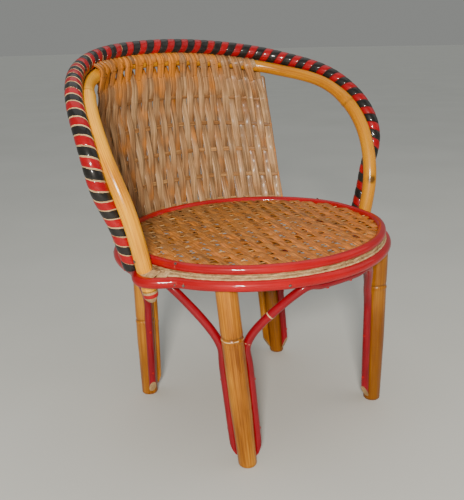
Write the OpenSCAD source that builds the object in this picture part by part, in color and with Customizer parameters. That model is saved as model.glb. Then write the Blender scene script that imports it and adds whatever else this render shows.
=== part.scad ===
// Small bent-cane armchair: four pole legs under a woven oval seat, a bent arm hoop with a wrapped top rail,
// and a back woven between the hoop and the seat. Z is up, the front faces -Y, and the feet stand on Z = 0.

/* [Seat] */
// Width of the seat across the centreline of its top trim
seat_w = 300; // [280:2:320]
// Depth of the seat, front to back, over the same centreline
seat_d = 274; // [260:2:280]
// Height of that centreline above the floor
seat_h = 209.5; // [200:0.5:230]
// Thickness of the two painted trim hoops
trim_t = 10.6; // [9:0.1:11]
// Thickness of the hidden hoop that carries the weave
frame_t = 18; // [15:0.5:18]

/* [Back and arms] */
// Height of the arm hoop at the back, above the top trim
back_h = 183.5; // [160:0.5:200]
// Thickness of the bare arm hoop
hoop_t = 16; // [14:0.5:17]
// Thickness of the rail's core, under its wrapping
rail_t = 14; // [12:0.5:15]
// Thickness of the wrapping strips
wrap_t = 1.2; // [0.8:0.1:1.6]
// Turns of the two wrapping strips along the rail
wrap_turns = 43; // [30:1:50]

/* [Legs and braces] */
// Thickness of the legs
leg_t = 22; // [20:0.5:23]
// Thickness of the legs at the floor
foot_t = 19; // [17:0.5:20]
// Thickness of the arched braces
brace_t = 8.8; // [7:0.2:10]
// Height at which a brace leaves its leg
brace_h = 126; // [100:1:132]

/* [Weave] */
// Upright strands in the back
back_n = 32; // [24:1:34]
// Front-to-back strands in the seat
seat_n = 35; // [28:1:37]
// Cross ribs in the seat
seat_rib_n = 14; // [11:1:17]
// Width of a strand
strand_w = 7; // [5:0.1:7.2]
// Thickness of a strand
strand_t = 1.2; // [0.8:0.1:1.4]
// Thickness of a rib
rib_t = 3.6; // [2.4:0.1:4]

/* [Hidden] */

red = "firebrick";
cane = "goldenrod";
weave = "peru";
cream = "wheat";
round_n = 40;

// The seat's outline is an oval of four arcs. Its side arcs are centred on the X axis and its front and back arcs on Y.
oval_c = (seat_w - seat_d) / 2 / (2 - sqrt(2));
side_r = seat_w / 2 - oval_c;
front_r = seat_d / 2 + oval_c;
// The seat's centre lies a little forward, so that the whole chair's box is centred on the origin.
mid_y = -11;

// The lower trim stands outside the top one and below it, with a gap for the weave's ends.
lower_e = 5.4;
lower_z = seat_h - 14.5;
frame_e = -10.2;
frame_z = lower_z - trim_t / 2 + frame_t / 2;
under_z = lower_z - trim_t / 2;
weave_z = frame_z + frame_t / 2 + rib_t / 2;
wave_a = (rib_t + strand_t) / 2;

// Foot and top of each leg, as the hand-made frame stands: each leg has its own lean.
legs = [
    [[-98, -117], [-104.7, -96.2]],
    [[100, -109.6], [97.7, -111.2]],
    [[-100, 74.6], [-100, 75]],
    [[97, 60], [97, 87]]
];
// Height of the ring-shaped joint in each leg's cane
leg_joint = [136, 144, 96, 128];

// The arm hoop's route, right half: x in half widths, y in half depths, z in back heights above the top trim
arm_pts = [
    [0, 1.168, 1], [0.493, 1.124, 0.978], [0.867, 0.818, 0.918], [1.1, 0.38, 0.815],
    [1.18, 0.044, 0.586], [1.12, -0.168, 0.237], [1.005, -0.175, -0.21]
];
// Which way the wrapped rail lies from the arm hoop at each of those points
rail_dirs = [
    [0, 0, 1], [0.15, -0.05, 1], [0.5, 0.1, 0.85], [0.85, 0.05, 0.5],
    [0.97, -0.1, 0.2], [0.5, 0.86, 0], [0.2, 0.98, 0]
];
arm_steps = 8;
arm_n = 80;
rail_n = 76;
rail_gap = (hoop_t + rail_t) / 2 + wrap_t + 0.2;

function unit(v) = v / norm(v);
function mix(a, b, t) = a + (b - a) * t;
function clamp(t) = min(1, max(0, t));
function ease(t) = 0.5 - 0.5 * cos(180 * clamp(t));

// A point of the oval, e outside its centreline, where f is the direction that the edge faces
function oval(f, e) = abs(cos(f)) > abs(sin(f))
    ? [sign(cos(f)) * oval_c + (side_r + e) * cos(f), mid_y + (side_r + e) * sin(f)]
    : [(front_r + e) * cos(f), mid_y + (front_r + e) * sin(f) - sign(sin(f)) * oval_c];
// Half the oval's length front to back at x, and half its width at y
function oval_y(x, e) = let (k = (side_r + e) * sin(45))
    abs(x) > oval_c + k
        ? sqrt(max(0, pow(side_r + e, 2) - pow(abs(x) - oval_c, 2)))
        : sqrt(pow(front_r + e, 2) - x * x) - oval_c;
function oval_x(y, e) = let (k = (side_r + e) * sin(45))
    abs(y) < k
        ? oval_c + sqrt(pow(side_r + e, 2) - y * y)
        : sqrt(max(0, pow(front_r + e, 2) - pow(abs(y) + oval_c, 2)));

// A smooth curve through points p, with n steps between each two
function bend(a, b, c, d, t) = 0.5 * (2 * b + (c - a) * t + (2 * a - 5 * b + 4 * c - d) * t * t
    + (3 * b - a - 3 * c + d) * t * t * t);
function smooth(p, n) = let (m = len(p), q = concat([2 * p[0] - p[1]], p, [2 * p[m - 1] - p[m - 2]]))
    concat([for (i = [0 : m - 2], k = [0 : n - 1]) bend(q[i], q[i + 1], q[i + 2], q[i + 3], k / n)], [p[m - 1]]);
function lengths(p) = [for (i = 0, s = 0; i < len(p); s = s + norm(p[min(i + 1, len(p) - 1)] - p[i]), i = i + 1) s];
function at_length(p, s, d) = [for (k = [0 : 2]) lookup(d, [for (i = [0 : len(p) - 1]) [s[i], p[i][k]]])];
function even(p, n) = let (s = lengths(p)) [for (i = [0 : n]) at_length(p, s, s[len(p) - 1] * i / n)];

// Both halves of a symmetric route, left end first
function both(p) = concat([for (i = [len(p) - 1 : -1 : 1]) [-p[i].x, p[i].y, p[i].z]], p);

function tangents(p) = [for (i = [0 : len(p) - 1]) unit(p[min(i + 1, len(p) - 1)] - p[max(i - 1, 0)])];
function square_to(v, t) = unit(v - (v * t) * t);
// A side vector for each point of a route, carried along it without twist
function carried(t, u) = [for (i = 0, w = square_to(u, t[0]); i < len(t);
    w = square_to(w, t[min(i + 1, len(t) - 1)]), i = i + 1) w];

arm_mm = [for (p = arm_pts) [p.x * seat_w / 2, mid_y + p.y * seat_d / 2, seat_h + p.z * back_h]];
arm_path = even(smooth(both(arm_mm), arm_steps), arm_n);
arm_tan = tangents(arm_path);
rail_dir = even_dirs(smooth(both(rail_dirs), arm_steps));
function even_dirs(q) = let (p = smooth(both(arm_mm), arm_steps), s = lengths(p), m = len(p))
    [for (i = [0 : arm_n]) let (d = s[m - 1] * i / arm_n) [for (k = [0 : 2]) lookup(d, [for (j = [0 : m - 1]) [s[j], q[j][k]]])]];
// The rail rests against the hoop all the way, and stops where the lower trim passes outside it.
rail_all = [for (i = [0 : arm_n]) arm_path[i] + rail_gap * square_to(rail_dir[i], arm_tan[i])];
rail_path = even([for (p = rail_all) if (p.z > lower_z + trim_t / 2 + 1) p], rail_n);

// A round bar along route p, with a radius for each point. The first and last rings may be cut on a slope, by bevel along dir.
module bar(p, r, sides, side = [1, 0, 0], bevel = [0, 0], dirs = [[1, 0, 0], [1, 0, 0]]) {
    n = len(p);
    t = tangents(p);
    u = carried(t, side);
    function shift(i, w) = i == 0 ? t[0] * bevel[0] * (1 + w * dirs[0]) / 2
        : i == n - 1 ? -t[n - 1] * bevel[1] * (1 + w * dirs[1]) / 2 : [0, 0, 0];
    points = [
        for (i = [0 : n - 1], k = [0 : sides - 1])
            let (w = cos(360 * k / sides) * u[i] + sin(360 * k / sides) * cross(t[i], u[i]))
            p[i] + r[i] * w + shift(i, w)
    ];
    faces = concat(
        [[for (k = [0 : sides - 1]) k]],
        [[for (k = [sides - 1 : -1 : 0]) (n - 1) * sides + k]],
        [for (i = [0 : n - 2], k = [0 : sides - 1]) let (a = i * sides + k, b = i * sides + (k + 1) % sides)
            [a, a + sides, b + sides, b]]
    );
    polyhedron(points, faces);
}

// A closed round bar along a level loop p
module loop(p, r, sides) {
    n = len(p);
    points = [
        for (i = [0 : n - 1])
            let (t = unit(p[(i + 1) % n] - p[(i + n - 1) % n]), u = unit(cross(t, [0, 0, 1])), v = cross(u, t))
            for (k = [0 : sides - 1]) p[i] + r * (cos(360 * k / sides) * u + sin(360 * k / sides) * v)
    ];
    faces = [for (i = [0 : n - 1], k = [0 : sides - 1])
        let (a = i * sides + k, b = i * sides + (k + 1) % sides, c = ((i + 1) % n) * sides)
        [a, b, c + (k + 1) % sides, c + k]];
    polyhedron(points, faces);
}

// An exact ring that follows the oval, e outside it, at height z. Its section is drawn by the child.
module oval_ring(e, z) {
    for (i = [0 : 3]) {
        r = i % 2 == 0 ? side_r : front_r;
        c = i % 2 == 0 ? [oval_c, 0] : [-oval_c, 0];
        translate([0, mid_y, z])
            rotate([0, 0, 90 * i])
                translate([c.x, c.y, 0])
                    rotate([0, 0, -45])
                        rotate_extrude(angle = 90, $fn = 120)
                            translate([r + e, 0])
                                children();
    }
}

module leg(i) {
    foot = [legs[i][0].x, legs[i][0].y, 0];
    top = [legs[i][1].x, legs[i][1].y, under_z];
    lean = top - foot;
    r = leg_t / 2;
    j = leg_joint[i];
    color(cane)
        intersection() {
            translate(foot)
                rotate([0, acos(lean.z / norm(lean)), atan2(lean.y, lean.x)])
                    rotate([0, 0, 30])
                        rotate_extrude($fn = round_n)
                            polygon([[0, -20], [foot_t / 2 - 0.2, -20], [foot_t / 2, 2], [r, 70], [r - 0.3, j - 3],
                                [r + 0.6, j - 1], [r + 0.6, j + 1], [r - 0.4, j + 4], [r, under_z + 20], [0, under_z + 20]]);
            translate([foot.x - 60, foot.y - 60, 0])
                cube([120, 120, under_z]);
        }
}

function leg_axis(i, z) = let (f = legs[i][0], t = legs[i][1]) [mix(f.x, t.x, z / under_z), mix(f.y, t.y, z / under_z), z];
function leg_r(z) = mix(foot_t, leg_t, clamp(z / 70)) / 2;
// A brace's point beside leg i, on the side that q faces, at height z and g away from the leg
function beside(i, q, z, g) = leg_axis(i, z) + (leg_r(z) + brace_t / 2 + g) * unit([q.x, q.y, 0]);
function under(f, e) = let (o = oval(f, e)) [o.x, o.y, under_z - brace_t / 2 - 0.1];

// One rod, bent from leg a up under the seat and down leg b. fs are the edge directions that it passes under, es how far out.
module brace(a, qa, b, qb, fs, es) {
    n = len(fs);
    first = under(fs[0], es[0]);
    last = under(fs[n - 1], es[n - 1]);
    pa = beside(a, qa, brace_h + 10, 2);
    pb = beside(b, qb, brace_h + 10, 2);
    route = concat(
        [beside(a, qa, 5, 0), beside(a, qa, 40, 0), beside(a, qa, brace_h - 25, 0), beside(a, qa, brace_h, 0.3)],
        [mix(pa, first, 0.3)],
        [for (i = [0 : n - 1]) under(fs[i], es[i])],
        [mix(pb, last, 0.3)],
        [beside(b, qb, brace_h, 0.3), beside(b, qb, brace_h - 25, 0), beside(b, qb, 40, 0), beside(b, qb, 5, 0)]
    );
    path = even(smooth(route, 6), 46);
    bar(path, [for (p = path) brace_t / 2], 8, side = [qa.y, -qa.x, 0], bevel = [17, 17],
        dirs = [unit([qa.x, qa.y, 0]), unit([qb.x, qb.y, 0])]);
}

module leg_front_left() leg(0);
module leg_front_right() leg(1);
module leg_back_left() leg(2);
module leg_back_right() leg(3);

module brace_front()
    color(red)
        brace(0, [1, -0.1], 1, [-1, -0.1], [253, 261, 270, 279, 287], [0, -2, -3, -2, 0]);

module brace_left()
    color(red)
        brace(0, [-0.35, 1], 2, [-0.25, -1], [200, 192, 181, 169, 160], [-3, -8.5, -9, -8, -4]);

module brace_right()
    color(red)
        brace(1, [0.3, 1], 3, [0.35, -1], [-20, -12, -2, 11, 20], [-3, -8.5, -9, -8, -4]);

module brace_back()
    color(cane)
        brace(3, [-1, 0.2], 2, [1, 0.2], [73, 81, 90, 99, 107], [0, -2, -3, -2, 0]);

module seat_frame_hoop()
    color(cane)
        oval_ring(frame_e, frame_z) circle(d = frame_t, $fn = round_n);

// Two bars across the underside carry the weave between the sides of the frame hoop.
module seat_cross_bars()
    color(cane)
        for (y = [-46, 46]) {
            w = oval_x(y, frame_e - frame_t / 2) + 2;
            translate([-w, mid_y + y, weave_z - wave_a - strand_t / 2 - 5.2])
                rotate([0, 90, 0])
                    cylinder(d = 10, h = 2 * w, $fn = round_n);
        }

// The top trim is pressed in where the two hoops' ends pass outside it, and the lower trim bulges out round them.
function near(f, centre, half) = let (d = abs(((f - centre) % 360 + 540) % 360 - 180)) d < half ? 0.5 + 0.5 * cos(180 * d / half) : 0;
function top_e(f) = -3.4 * (near(f, 190, 24) + near(f, 350, 24));
function low_e(f) = lower_e + 16 * (near(f, 194, 14) + near(f, 346, 14));

module seat_top_trim()
    color(red)
        loop([for (f = [0 : 4.5 : 355.5]) let (o = oval(f, top_e(f))) [o.x, o.y, seat_h]], trim_t / 2, 10);

module seat_lower_trim()
    color(red)
        loop([for (f = [0 : 3.75 : 356.25]) let (o = oval(f, low_e(f))) [o.x, o.y, lower_z]], trim_t / 2, 10);

// The strands' folded ends fill the gap between the two trims.
module seat_edge_band() {
    slope = atan2(lower_e, 14.5);
    color(cream)
        oval_ring(lower_e / 2, (seat_h + lower_z) / 2)
            rotate(slope)
                translate([-4, -2])
                    square([6, 4]);
}

module seat_ribs()
    color(weave)
        for (i = [0 : seat_rib_n - 1]) {
            y = rib_y(i);
            w = oval_x(abs(y) + rib_t / 2, -trim_t / 2 - 0.5);
            translate([-w, mid_y + y, weave_z])
                rotate([0, 90, 0])
                    cylinder(d = rib_t, h = 2 * w, $fn = 20);
        }
rib_pitch = (seat_d - trim_t) / (seat_rib_n + 0.6);
function rib_y(i) = (i - (seat_rib_n - 1) / 2) * rib_pitch;

// A ribbon of even thickness along a flat route of [length, height] points
module ribbon(p, t, w) {
    n = len(p);
    function ahead(i) = unit(p[min(i + 1, n - 1)] - p[max(i - 1, 0)]);
    function aside(i) = let (d = ahead(i)) [-d.y, d.x] * t / 2;
    rotate([90, 0, 90])
        translate([0, 0, -w / 2])
            linear_extrude(w)
                polygon(concat([for (i = [0 : n - 1]) p[i] + aside(i)], [for (i = [n - 1 : -1 : 0]) p[i] - aside(i)]));
}

seat_pitch = (seat_w - trim_t - 4) / seat_n;
module seat_strands(first) {
    for (i = [first : 2 : seat_n - 1]) {
        x = (i - (seat_n - 1) / 2) * seat_pitch;
        h = oval_y(abs(x) + strand_w / 2, -trim_t / 2 - 0.3);
        steps = ceil(2 * h / (rib_pitch / 3));
        color(weave)
            translate([x, mid_y, weave_z])
                ribbon([for (k = [0 : steps]) let (y = -h + 2 * h * k / steps, e = ease((h - abs(y)) / 12))
                    [y, wave_a * e * cos(180 * (y - rib_y(0)) / rib_pitch + 180 * i)]], strand_t, strand_w);
    }
}
module seat_strands_odd() seat_strands(0);
module seat_strands_even() seat_strands(1);

module arm_hoop() {
    n = len(arm_path) - 1;
    color(cane)
        bar(arm_path, [for (i = [0 : n]) let (k = min(i, n - i)) k == 0 ? hoop_t * 0.28 : k == 1 ? hoop_t * 0.47 : hoop_t / 2],
            12);
}

module top_rail()
    color(cane)
        bar(rail_path, [for (p = rail_path) rail_t / 2], 10);

// One strip of the wrapping: a flat band that winds round the rail, half a pitch from the other.
module rail_wrap(phase) {
    p = rail_path;
    n = len(p) - 1;
    s = lengths(p);
    t = tangents(p);
    u = carried(t, [1, 0, 0]);
    v = [for (i = [0 : n]) cross(t[i], u[i])];
    pitch = s[n] / wrap_turns;
    half = pitch / 4 - 0.25;
    per_turn = 6;
    count = floor((wrap_turns - 0.75) * per_turn);
    r0 = rail_t / 2 / cos(180 / per_turn) - 0.6;
    function ring(d, a, r) = at_length(p, s, d) + r * (cos(a) * unit(at_length(u, s, d)) + sin(a) * unit(at_length(v, s, d)));
    points = [
        for (i = [0 : count])
            let (d = pitch * (0.3 + phase / 2 + i / per_turn), a = -360 * i / per_turn)
            for (c = [[half, 0], [half, wrap_t], [-half, wrap_t], [-half, 0]])
                ring(d + c[0], a, r0 + c[1])
    ];
    faces = concat([[3, 2, 1, 0]], [[for (k = [0 : 3]) 4 * count + k]],
        [for (i = [0 : count - 1], k = [0 : 3]) [4 * i + k, 4 * i + (k + 1) % 4, 4 * i + 4 + (k + 1) % 4, 4 * i + 4 + k]]);
    polyhedron(points, faces);
}
module rail_wrap_red() color(red) rail_wrap(0);
module rail_wrap_black() color("black") rail_wrap(1);

// The back hangs between the arm hoop and the seat's back edge. u runs from -1 at its left edge to 1 at its right.
back_half = 134.5;
back_f = 51;
// The hand-woven back sits a little to the left of the middle.
back_aside = 5;
back_turn = 1.8;
back_z = lower_z + trim_t / 2 + 0.4;
back_e = trim_t / 2 + strand_t / 2 + wave_a + 0.1;
arm_s = lengths(arm_path);
arm_mid = arm_s[arm_n] / 2;
rib_at = [0.06, 0.23, 0.41, 0.59, 0.77];
function hoop_at(u) = at_length(arm_path, arm_s, arm_mid - back_aside + u * back_half);
function foot_at(u) = let (o = oval(90 + back_turn - u * back_f, back_e)) [o.x, o.y, back_z];
// The frame of the upright at u: across the back, up it and out of it, its length, and where it meets the hoop
function upright(u) = let (
        a = foot_at(u), b = hoop_at(u), up = unit(b - a),
        across = square_to(unit(hoop_at(u + 0.02) - hoop_at(u - 0.02)) + unit(foot_at(u + 0.02) - foot_at(u - 0.02)), up),
        out = cross(up, across) * -1, r = hoop_t / 2 + strand_t / 2 + 0.2, h = norm(b - a), k = asin(r / h))
    [a, across, cos(k) * up - sin(k) * out, cos(k) * out + sin(k) * up, h * cos(k), r];
// A point on the back's mid surface, at u across and t up
function back_pt(u, t) = let (q = upright(u)) q[0] + q[2] * q[4] * t;

module back_ribs()
    color(weave)
        for (t = rib_at) {
            p = [for (k = [-10 : 10]) back_pt(k / 10 * 0.985, t)];
            bar(p, [for (q = p) rib_t / 2], 6);
        }

// Height above the mid surface at t up the back: the strand passes each rib on the other side from the last
function rib_phase(t) = lookup(t, [[0, -0.4], [rib_at[0], 0], [rib_at[1], 1], [rib_at[2], 2], [rib_at[3], 3], [rib_at[4], 4], [1, 5.2]]);
module back_strands(first)
    color(weave)
        for (i = [first : 2 : back_n - 1]) {
            u = -0.955 + 1.91 * i / (back_n - 1);
            q = upright(u);
            h = q[4];
            r = q[5];
            steps = 26;
            wave = [for (k = [0 : steps - 1]) let (t = k / steps)
                [h * t, -wave_a * ease((1 - t) * h / 22) * cos(180 * rib_phase(t) + 180 * i)]];
            hook = [for (a = [-90 : 20 : 110]) [h + r * cos(a), r + r * sin(a)]];
            tail = [[h - 8, 2 * r - 0.6], [h - 22, 2 * r - 3.5]];
            // Columns: the route's length runs up the back, its height out of it
            multmatrix([
                [q[1].x, q[2].x, q[3].x, q[0].x],
                [q[1].y, q[2].y, q[3].y, q[0].y],
                [q[1].z, q[2].z, q[3].z, q[0].z],
                [0, 0, 0, 1]
            ])
                ribbon(concat(wave, hook, tail), strand_t, strand_w);
        }
module back_strands_odd() back_strands(0);
module back_strands_even() back_strands(1);

// A flat stake stiffens each side of the back, from the seat to just under the arm hoop.
module back_stake(s) {
    q = upright(s * 0.985);
    color(cream)
        multmatrix([
            [q[1].x, q[2].x, q[3].x, q[0].x],
            [q[1].y, q[2].y, q[3].y, q[0].y],
            [q[1].z, q[2].z, q[3].z, q[0].z],
            [0, 0, 0, 1]
        ]) {
            translate([-strand_w / 2 - s * 1, 0, -rib_t / 2 - 3])
                cube([strand_w, q[4] - 14, 3]);
            translate([-s * 1, q[4] - 14, -rib_t / 2 - 3])
                cylinder(d = strand_w, h = 3, $fn = 24);
        }
}
module back_stake_left() back_stake(-1);
module back_stake_right() back_stake(1);

// A wire nail whose head's underside is at p, driven along d
module nail(p, d, head = 3.6, shank = 12) {
    u = unit(d);
    translate(p)
        rotate([0, acos(u.z), atan2(u.y, u.x)]) {
            cylinder(d = 1.5, h = shank, $fn = 16);
            translate([0, 0, -0.7])
                cylinder(d = head, h = 0.9, $fn = 20);
        }
}

module trim_nails()
    color("dimgray") {
        for (f = [30, 75, 112, 150, 206, 210, 247, 335])
            let (o = oval(f, low_e(f) + trim_t / 2), q = oval(f, 0))
            nail([o.x, o.y, lower_z], [q.x - o.x, q.y - o.y, 0.5], head = 3);
        for (f = [20, 60, 90, 120, 160, 205])
            let (o = oval(f, trim_t * 0.35), q = oval(f, 0))
            nail([o.x, o.y, seat_h + trim_t * 0.35], [q.x - o.x, q.y - o.y, -4.2], head = 2.6);
    }

module brace_nails()
    color("dimgray") {
        for (f = [264, 276, 84, 96])
            let (o = under(f, -2.5))
            nail(o - [0, 0, brace_t / 2], [0, 0, 1]);
        for (b = [[0, [1, -0.1]], [1, [-1, -0.1]], [0, [-0.35, 1]], [2, [-0.25, -1]],
                [1, [0.3, 1]], [3, [0.35, -1]], [3, [-1, 0.2]], [2, [1, 0.2]]])
            for (z = [34, 88])
                nail(beside(b[0], b[1], z, brace_t / 2), [-b[1].x, -b[1].y, 0], head = 2.6);
    }

module hoop_nails()
    color("dimgray")
        for (s = [-1, 1]) {
            p = arm_path[s < 0 ? 4 : arm_n - 4];
            nail(p + [s * hoop_t / 2, 0, 0], [-s, 0.1, 0], shank = 14);
            q = rail_path[s < 0 ? 2 : rail_n - 2];
            nail(q + [s * (rail_t / 2 + wrap_t), 0, 0], [-s, 0, 0], shank = 12);
        }

module back_nails()
    color("dimgray")
        for (u = [-0.8, -0.4, 0.02, 0.42, 0.82]) {
            o = foot_at(u);
            f = 90 + back_turn - u * back_f;
            n = unit([cos(f), sin(f), 0]);
            nail([o.x, o.y, seat_h + 1] + n * 3.4, -n, shank = 9);
        }

leg_front_left();
leg_front_right();
leg_back_left();
leg_back_right();
brace_front();
brace_left();
brace_right();
brace_back();
seat_frame_hoop();
seat_cross_bars();
seat_top_trim();
seat_lower_trim();
seat_edge_band();
seat_ribs();
seat_strands_odd();
seat_strands_even();
arm_hoop();
top_rail();
rail_wrap_red();
rail_wrap_black();
back_ribs();
back_stake_left();
back_stake_right();
back_strands_odd();
back_strands_even();
trim_nails();
brace_nails();
hoop_nails();
back_nails();
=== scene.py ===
"""Small bent-cane armchair: pole legs, woven oval seat, bent arm hoop with a wrapped top rail, woven back.

Lengths are worked out in millimetres and turned into metres when a mesh is made.
"""

import math
import random

import bpy
import numpy as np
from mathutils import Matrix, Vector


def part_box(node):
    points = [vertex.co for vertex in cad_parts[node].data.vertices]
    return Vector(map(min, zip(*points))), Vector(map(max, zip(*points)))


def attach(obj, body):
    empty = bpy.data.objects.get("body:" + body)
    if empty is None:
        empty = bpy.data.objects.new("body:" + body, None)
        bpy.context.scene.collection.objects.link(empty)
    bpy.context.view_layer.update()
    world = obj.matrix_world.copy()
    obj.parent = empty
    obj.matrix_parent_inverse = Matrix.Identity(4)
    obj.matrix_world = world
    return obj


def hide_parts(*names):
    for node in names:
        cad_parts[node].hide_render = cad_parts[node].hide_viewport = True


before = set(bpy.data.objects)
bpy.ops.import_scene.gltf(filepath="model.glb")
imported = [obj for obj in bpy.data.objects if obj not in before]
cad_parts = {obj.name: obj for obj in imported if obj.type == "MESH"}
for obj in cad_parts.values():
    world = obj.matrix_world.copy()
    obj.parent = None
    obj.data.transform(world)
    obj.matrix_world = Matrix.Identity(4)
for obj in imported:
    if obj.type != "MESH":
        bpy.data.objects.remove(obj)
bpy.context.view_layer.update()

MM = 0.001


def box_mm(node):
    low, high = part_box(node)
    return np.array(low) / MM, np.array(high) / MM


# ---------------------------------------------------------------- sizes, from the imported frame
top_lo, top_hi = box_mm("seat_top_trim")
low_lo, low_hi = box_mm("seat_lower_trim")
hoop_lo, hoop_hi = box_mm("arm_hoop")

TRIM_T = top_hi[2] - top_lo[2]
SEAT_H = (top_hi[2] + top_lo[2]) / 2
SEAT_D = top_hi[1] - top_lo[1] - TRIM_T
# The top trim is pinched in at its two sides, so its box is narrower than the seat's own oval.
SEAT_W = SEAT_D + 26
MID_Y = (top_hi[1] + top_lo[1]) / 2
LOWER_Z = (low_hi[2] + low_lo[2]) / 2
# The level of the seat's underside, where the legs and braces end
UNDER_Z = LOWER_Z - TRIM_T / 2
# Thicknesses and counts end in _T and _N.
HOOP_T = 16.0
BACK_H = hoop_hi[2] - HOOP_T / 2 - SEAT_H
RAIL_T = 14.0
WRAP_T = 1.2
WRAP_TURNS = 43
FRAME_T = 18.0
# How far the lower trim lies outside the seat's oval
LOWER_E = 5.4
LEG_T = 22.0
FOOT_T = 19.0
BRACE_T = 8.8
# The height where the braces turn away from their legs
BRACE_H = 126.0
STRAND_W = 7.0
STRAND_T = 1.2
RIB_T = 3.6
SEAT_N = 35
SEAT_RIB_N = 14
BACK_N = 32
# The level of the seat's ribs, and how far the frame's strands swing to each side of them
WEAVE_Z = UNDER_Z + FRAME_T + RIB_T / 2
WAVE_A = (RIB_T + STRAND_T) / 2

# The oval is made of four arcs that meet where the edge faces 45 degrees: two small at the sides, two large.
OVAL_C = (SEAT_W - SEAT_D) / 2 / (2 - math.sqrt(2))
SIDE_R = SEAT_W / 2 - OVAL_C
FRONT_R = SEAT_D / 2 + OVAL_C


# ---------------------------------------------------------------- curves
def unit(v):
    v = np.asarray(v, float)
    return v / np.linalg.norm(v, axis=-1, keepdims=True)


def clamp(t, low=0.0, high=1.0):
    return np.minimum(high, np.maximum(low, t))


def ease(t):
    return 0.5 - 0.5 * np.cos(np.pi * clamp(t))


def hump(x, at, width, power=2):
    """A rounded bump of height 1 at a place. A higher power makes it flatter on top."""
    return np.exp(-(((x - at) / width) ** power))


def near(f, centre, half):
    """A soft bump of height 1 at direction centre, in degrees, gone at half away."""
    d = np.abs(((np.asarray(f, float) - centre) % 360 + 540) % 360 - 180)
    return np.where(d < half, 0.5 + 0.5 * np.cos(np.pi * d / half), 0.0)


def oval(f, e):
    """Point of the seat's oval, e outside its centreline, where the edge faces direction f, in degrees."""
    a = np.radians(f)
    c, s = np.cos(a), np.sin(a)
    side = np.abs(c) > np.abs(s)
    x = np.where(side, np.sign(c) * OVAL_C + (SIDE_R + e) * c, (FRONT_R + e) * c)
    y = np.where(side, (SIDE_R + e) * s, (FRONT_R + e) * s - np.sign(s) * OVAL_C)
    return np.stack([x, MID_Y + y], -1)


def oval_half_depth(x, e):
    k = (SIDE_R + e) * math.sin(math.radians(45))
    if abs(x) > OVAL_C + k:
        return math.sqrt(max(0, (SIDE_R + e) ** 2 - (abs(x) - OVAL_C) ** 2))
    return math.sqrt((FRONT_R + e) ** 2 - x * x) - OVAL_C


def oval_half_width(y, e):
    k = (SIDE_R + e) * math.sin(math.radians(45))
    if abs(y) < k:
        return OVAL_C + math.sqrt((SIDE_R + e) ** 2 - y * y)
    return math.sqrt(max(0, (FRONT_R + e) ** 2 - (abs(y) + OVAL_C) ** 2))


def smooth(points, steps):
    """Catmull-Rom curve through the points, with steps spans between each two."""
    p = np.asarray(points, float)
    q = np.vstack([2 * p[0] - p[1], p, 2 * p[-1] - p[-2]])
    out = []
    for a, b, c, d in zip(q, q[1:], q[2:], q[3:]):
        for t in np.arange(steps) / steps:
            bend = (2 * a - 5 * b + 4 * c - d) * t**2 + (3 * b - a - 3 * c + d) * t**3
            out.append(0.5 * (2 * b + (c - a) * t + bend))
    return np.vstack([out, p[-1]])


def lengths(p):
    return np.concatenate([[0], np.cumsum(np.linalg.norm(np.diff(p, axis=0), axis=1))])


def at_length(p, s, d):
    return np.stack([np.interp(d, s, p[:, k]) for k in range(p.shape[1])], -1)


def even(p, n):
    s = lengths(p)
    return at_length(p, s, np.linspace(0, s[-1], n + 1))


def both(p):
    """Both halves of a symmetric route, left end first."""
    p = np.asarray(p, float)
    return np.vstack([p[:0:-1] * [-1, 1, 1], p])


def tangents(p):
    return unit(np.vstack([p[1:2] - p[:1], p[2:] - p[:-2], p[-1:] - p[-2:-1]]))


def square_to(v, t):
    v = np.asarray(v, float)
    return unit(v - np.sum(v * t, -1, keepdims=True) * t)


def carried(t, side):
    """A side vector for each point of a route, carried along it without twist."""
    out, w = [], side
    for step in t:
        w = square_to(w, step)
        out.append(w)
    return np.array(out)


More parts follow.
